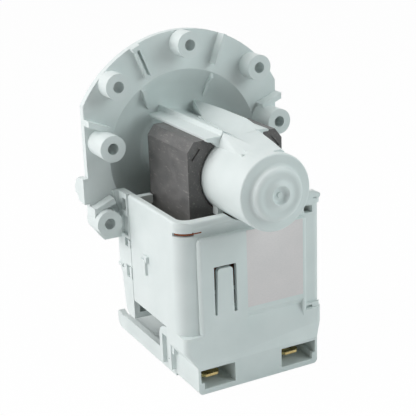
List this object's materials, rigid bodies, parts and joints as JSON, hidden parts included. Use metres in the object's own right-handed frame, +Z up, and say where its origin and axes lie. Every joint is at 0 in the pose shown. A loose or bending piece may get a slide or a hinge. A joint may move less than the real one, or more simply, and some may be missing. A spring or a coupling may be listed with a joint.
{
  "type": "dishwasher drain pump",
  "caption": "Drain pump with a round mounting flange, closed rotor can, laminated core, coil case on a terminal foot and a vaned impeller, pumps waste water out of a dishwasher.",
  "frame": {"origin": "where the rotor axis meets the flange's sealing face, at the foot of the locating spigot", "axes": "+Y along the rotor axis from the closed end of the can towards the impeller, +Z up from the terminal foot to the flange's top boss, +X to the right seen from the rear"},
  "size_m": [0.0742, 0.0881, 0.1032],
  "materials": {
    "housing_plastic": "satin moulded thermoplastic",
    "case_plastic": "satin moulded thermoplastic",
    "bobbin_plastic": "moulded thermoplastic",
    "impeller_plastic": "moulded thermoplastic",
    "black_plastic": "moulded thermoplastic",
    "core_steel": "lacquered laminated steel",
    "copper_wire": "enamelled copper wire",
    "label": "blank matt label film",
    "terminal_brass": "bare brass",
    "black_rubber": "moulded rubber",
    "cap_rubber": "moulded rubber",
    "carbon_bush": "ground sintered bush",
    "shaft_steel": "ground stainless steel",
    "ferrite": "sintered ferrite"
  },
  "bodies": {
    "pump_body": {"pump_housing": "housing_plastic", "flange_seal": "black_rubber", "stator_core": "core_steel", "bobbin_left": "bobbin_plastic", "bobbin_right": "bobbin_plastic", "winding_left": "copper_wire", "winding_right": "copper_wire", "link_wire": "copper_wire", "thermal_cutout": "black_plastic", "coil_case": "case_plastic", "blank_label": "label", "terminal_base": "case_plastic", "terminal_left": "terminal_brass", "terminal_right": "terminal_brass", "bearing_plate": "housing_plastic", "plate_seal": "black_rubber", "shaft_seal": "black_rubber", "front_bush": "carbon_bush", "front_damper": "black_rubber", "rear_bush": "carbon_bush", "rear_damper": "black_rubber"},
    "shaft_unit": {"rotor_shaft": "shaft_steel", "drive_dog": "impeller_plastic", "dog_pads": "black_rubber", "front_washer": "shaft_steel", "rear_washer": "shaft_steel", "impeller": "impeller_plastic", "impeller_cap": "cap_rubber"},
    "magnet_unit": {"rotor_magnet": "ferrite", "magnet_carrier": "impeller_plastic"}
  },
  "joints": [
    {"name": "shaft_spin", "type": "hinge", "parent": "pump_body", "child": "shaft_unit", "pos_m": [0, -0.02, 0], "axis": [0, 1, 0], "continuous": true},
    {"name": "magnet_play", "type": "hinge", "parent": "shaft_unit", "child": "magnet_unit", "pos_m": [0, -0.0227, 0], "axis": [0, 1, 0], "range_deg": [-119.5, 119.5]}
  ]
}
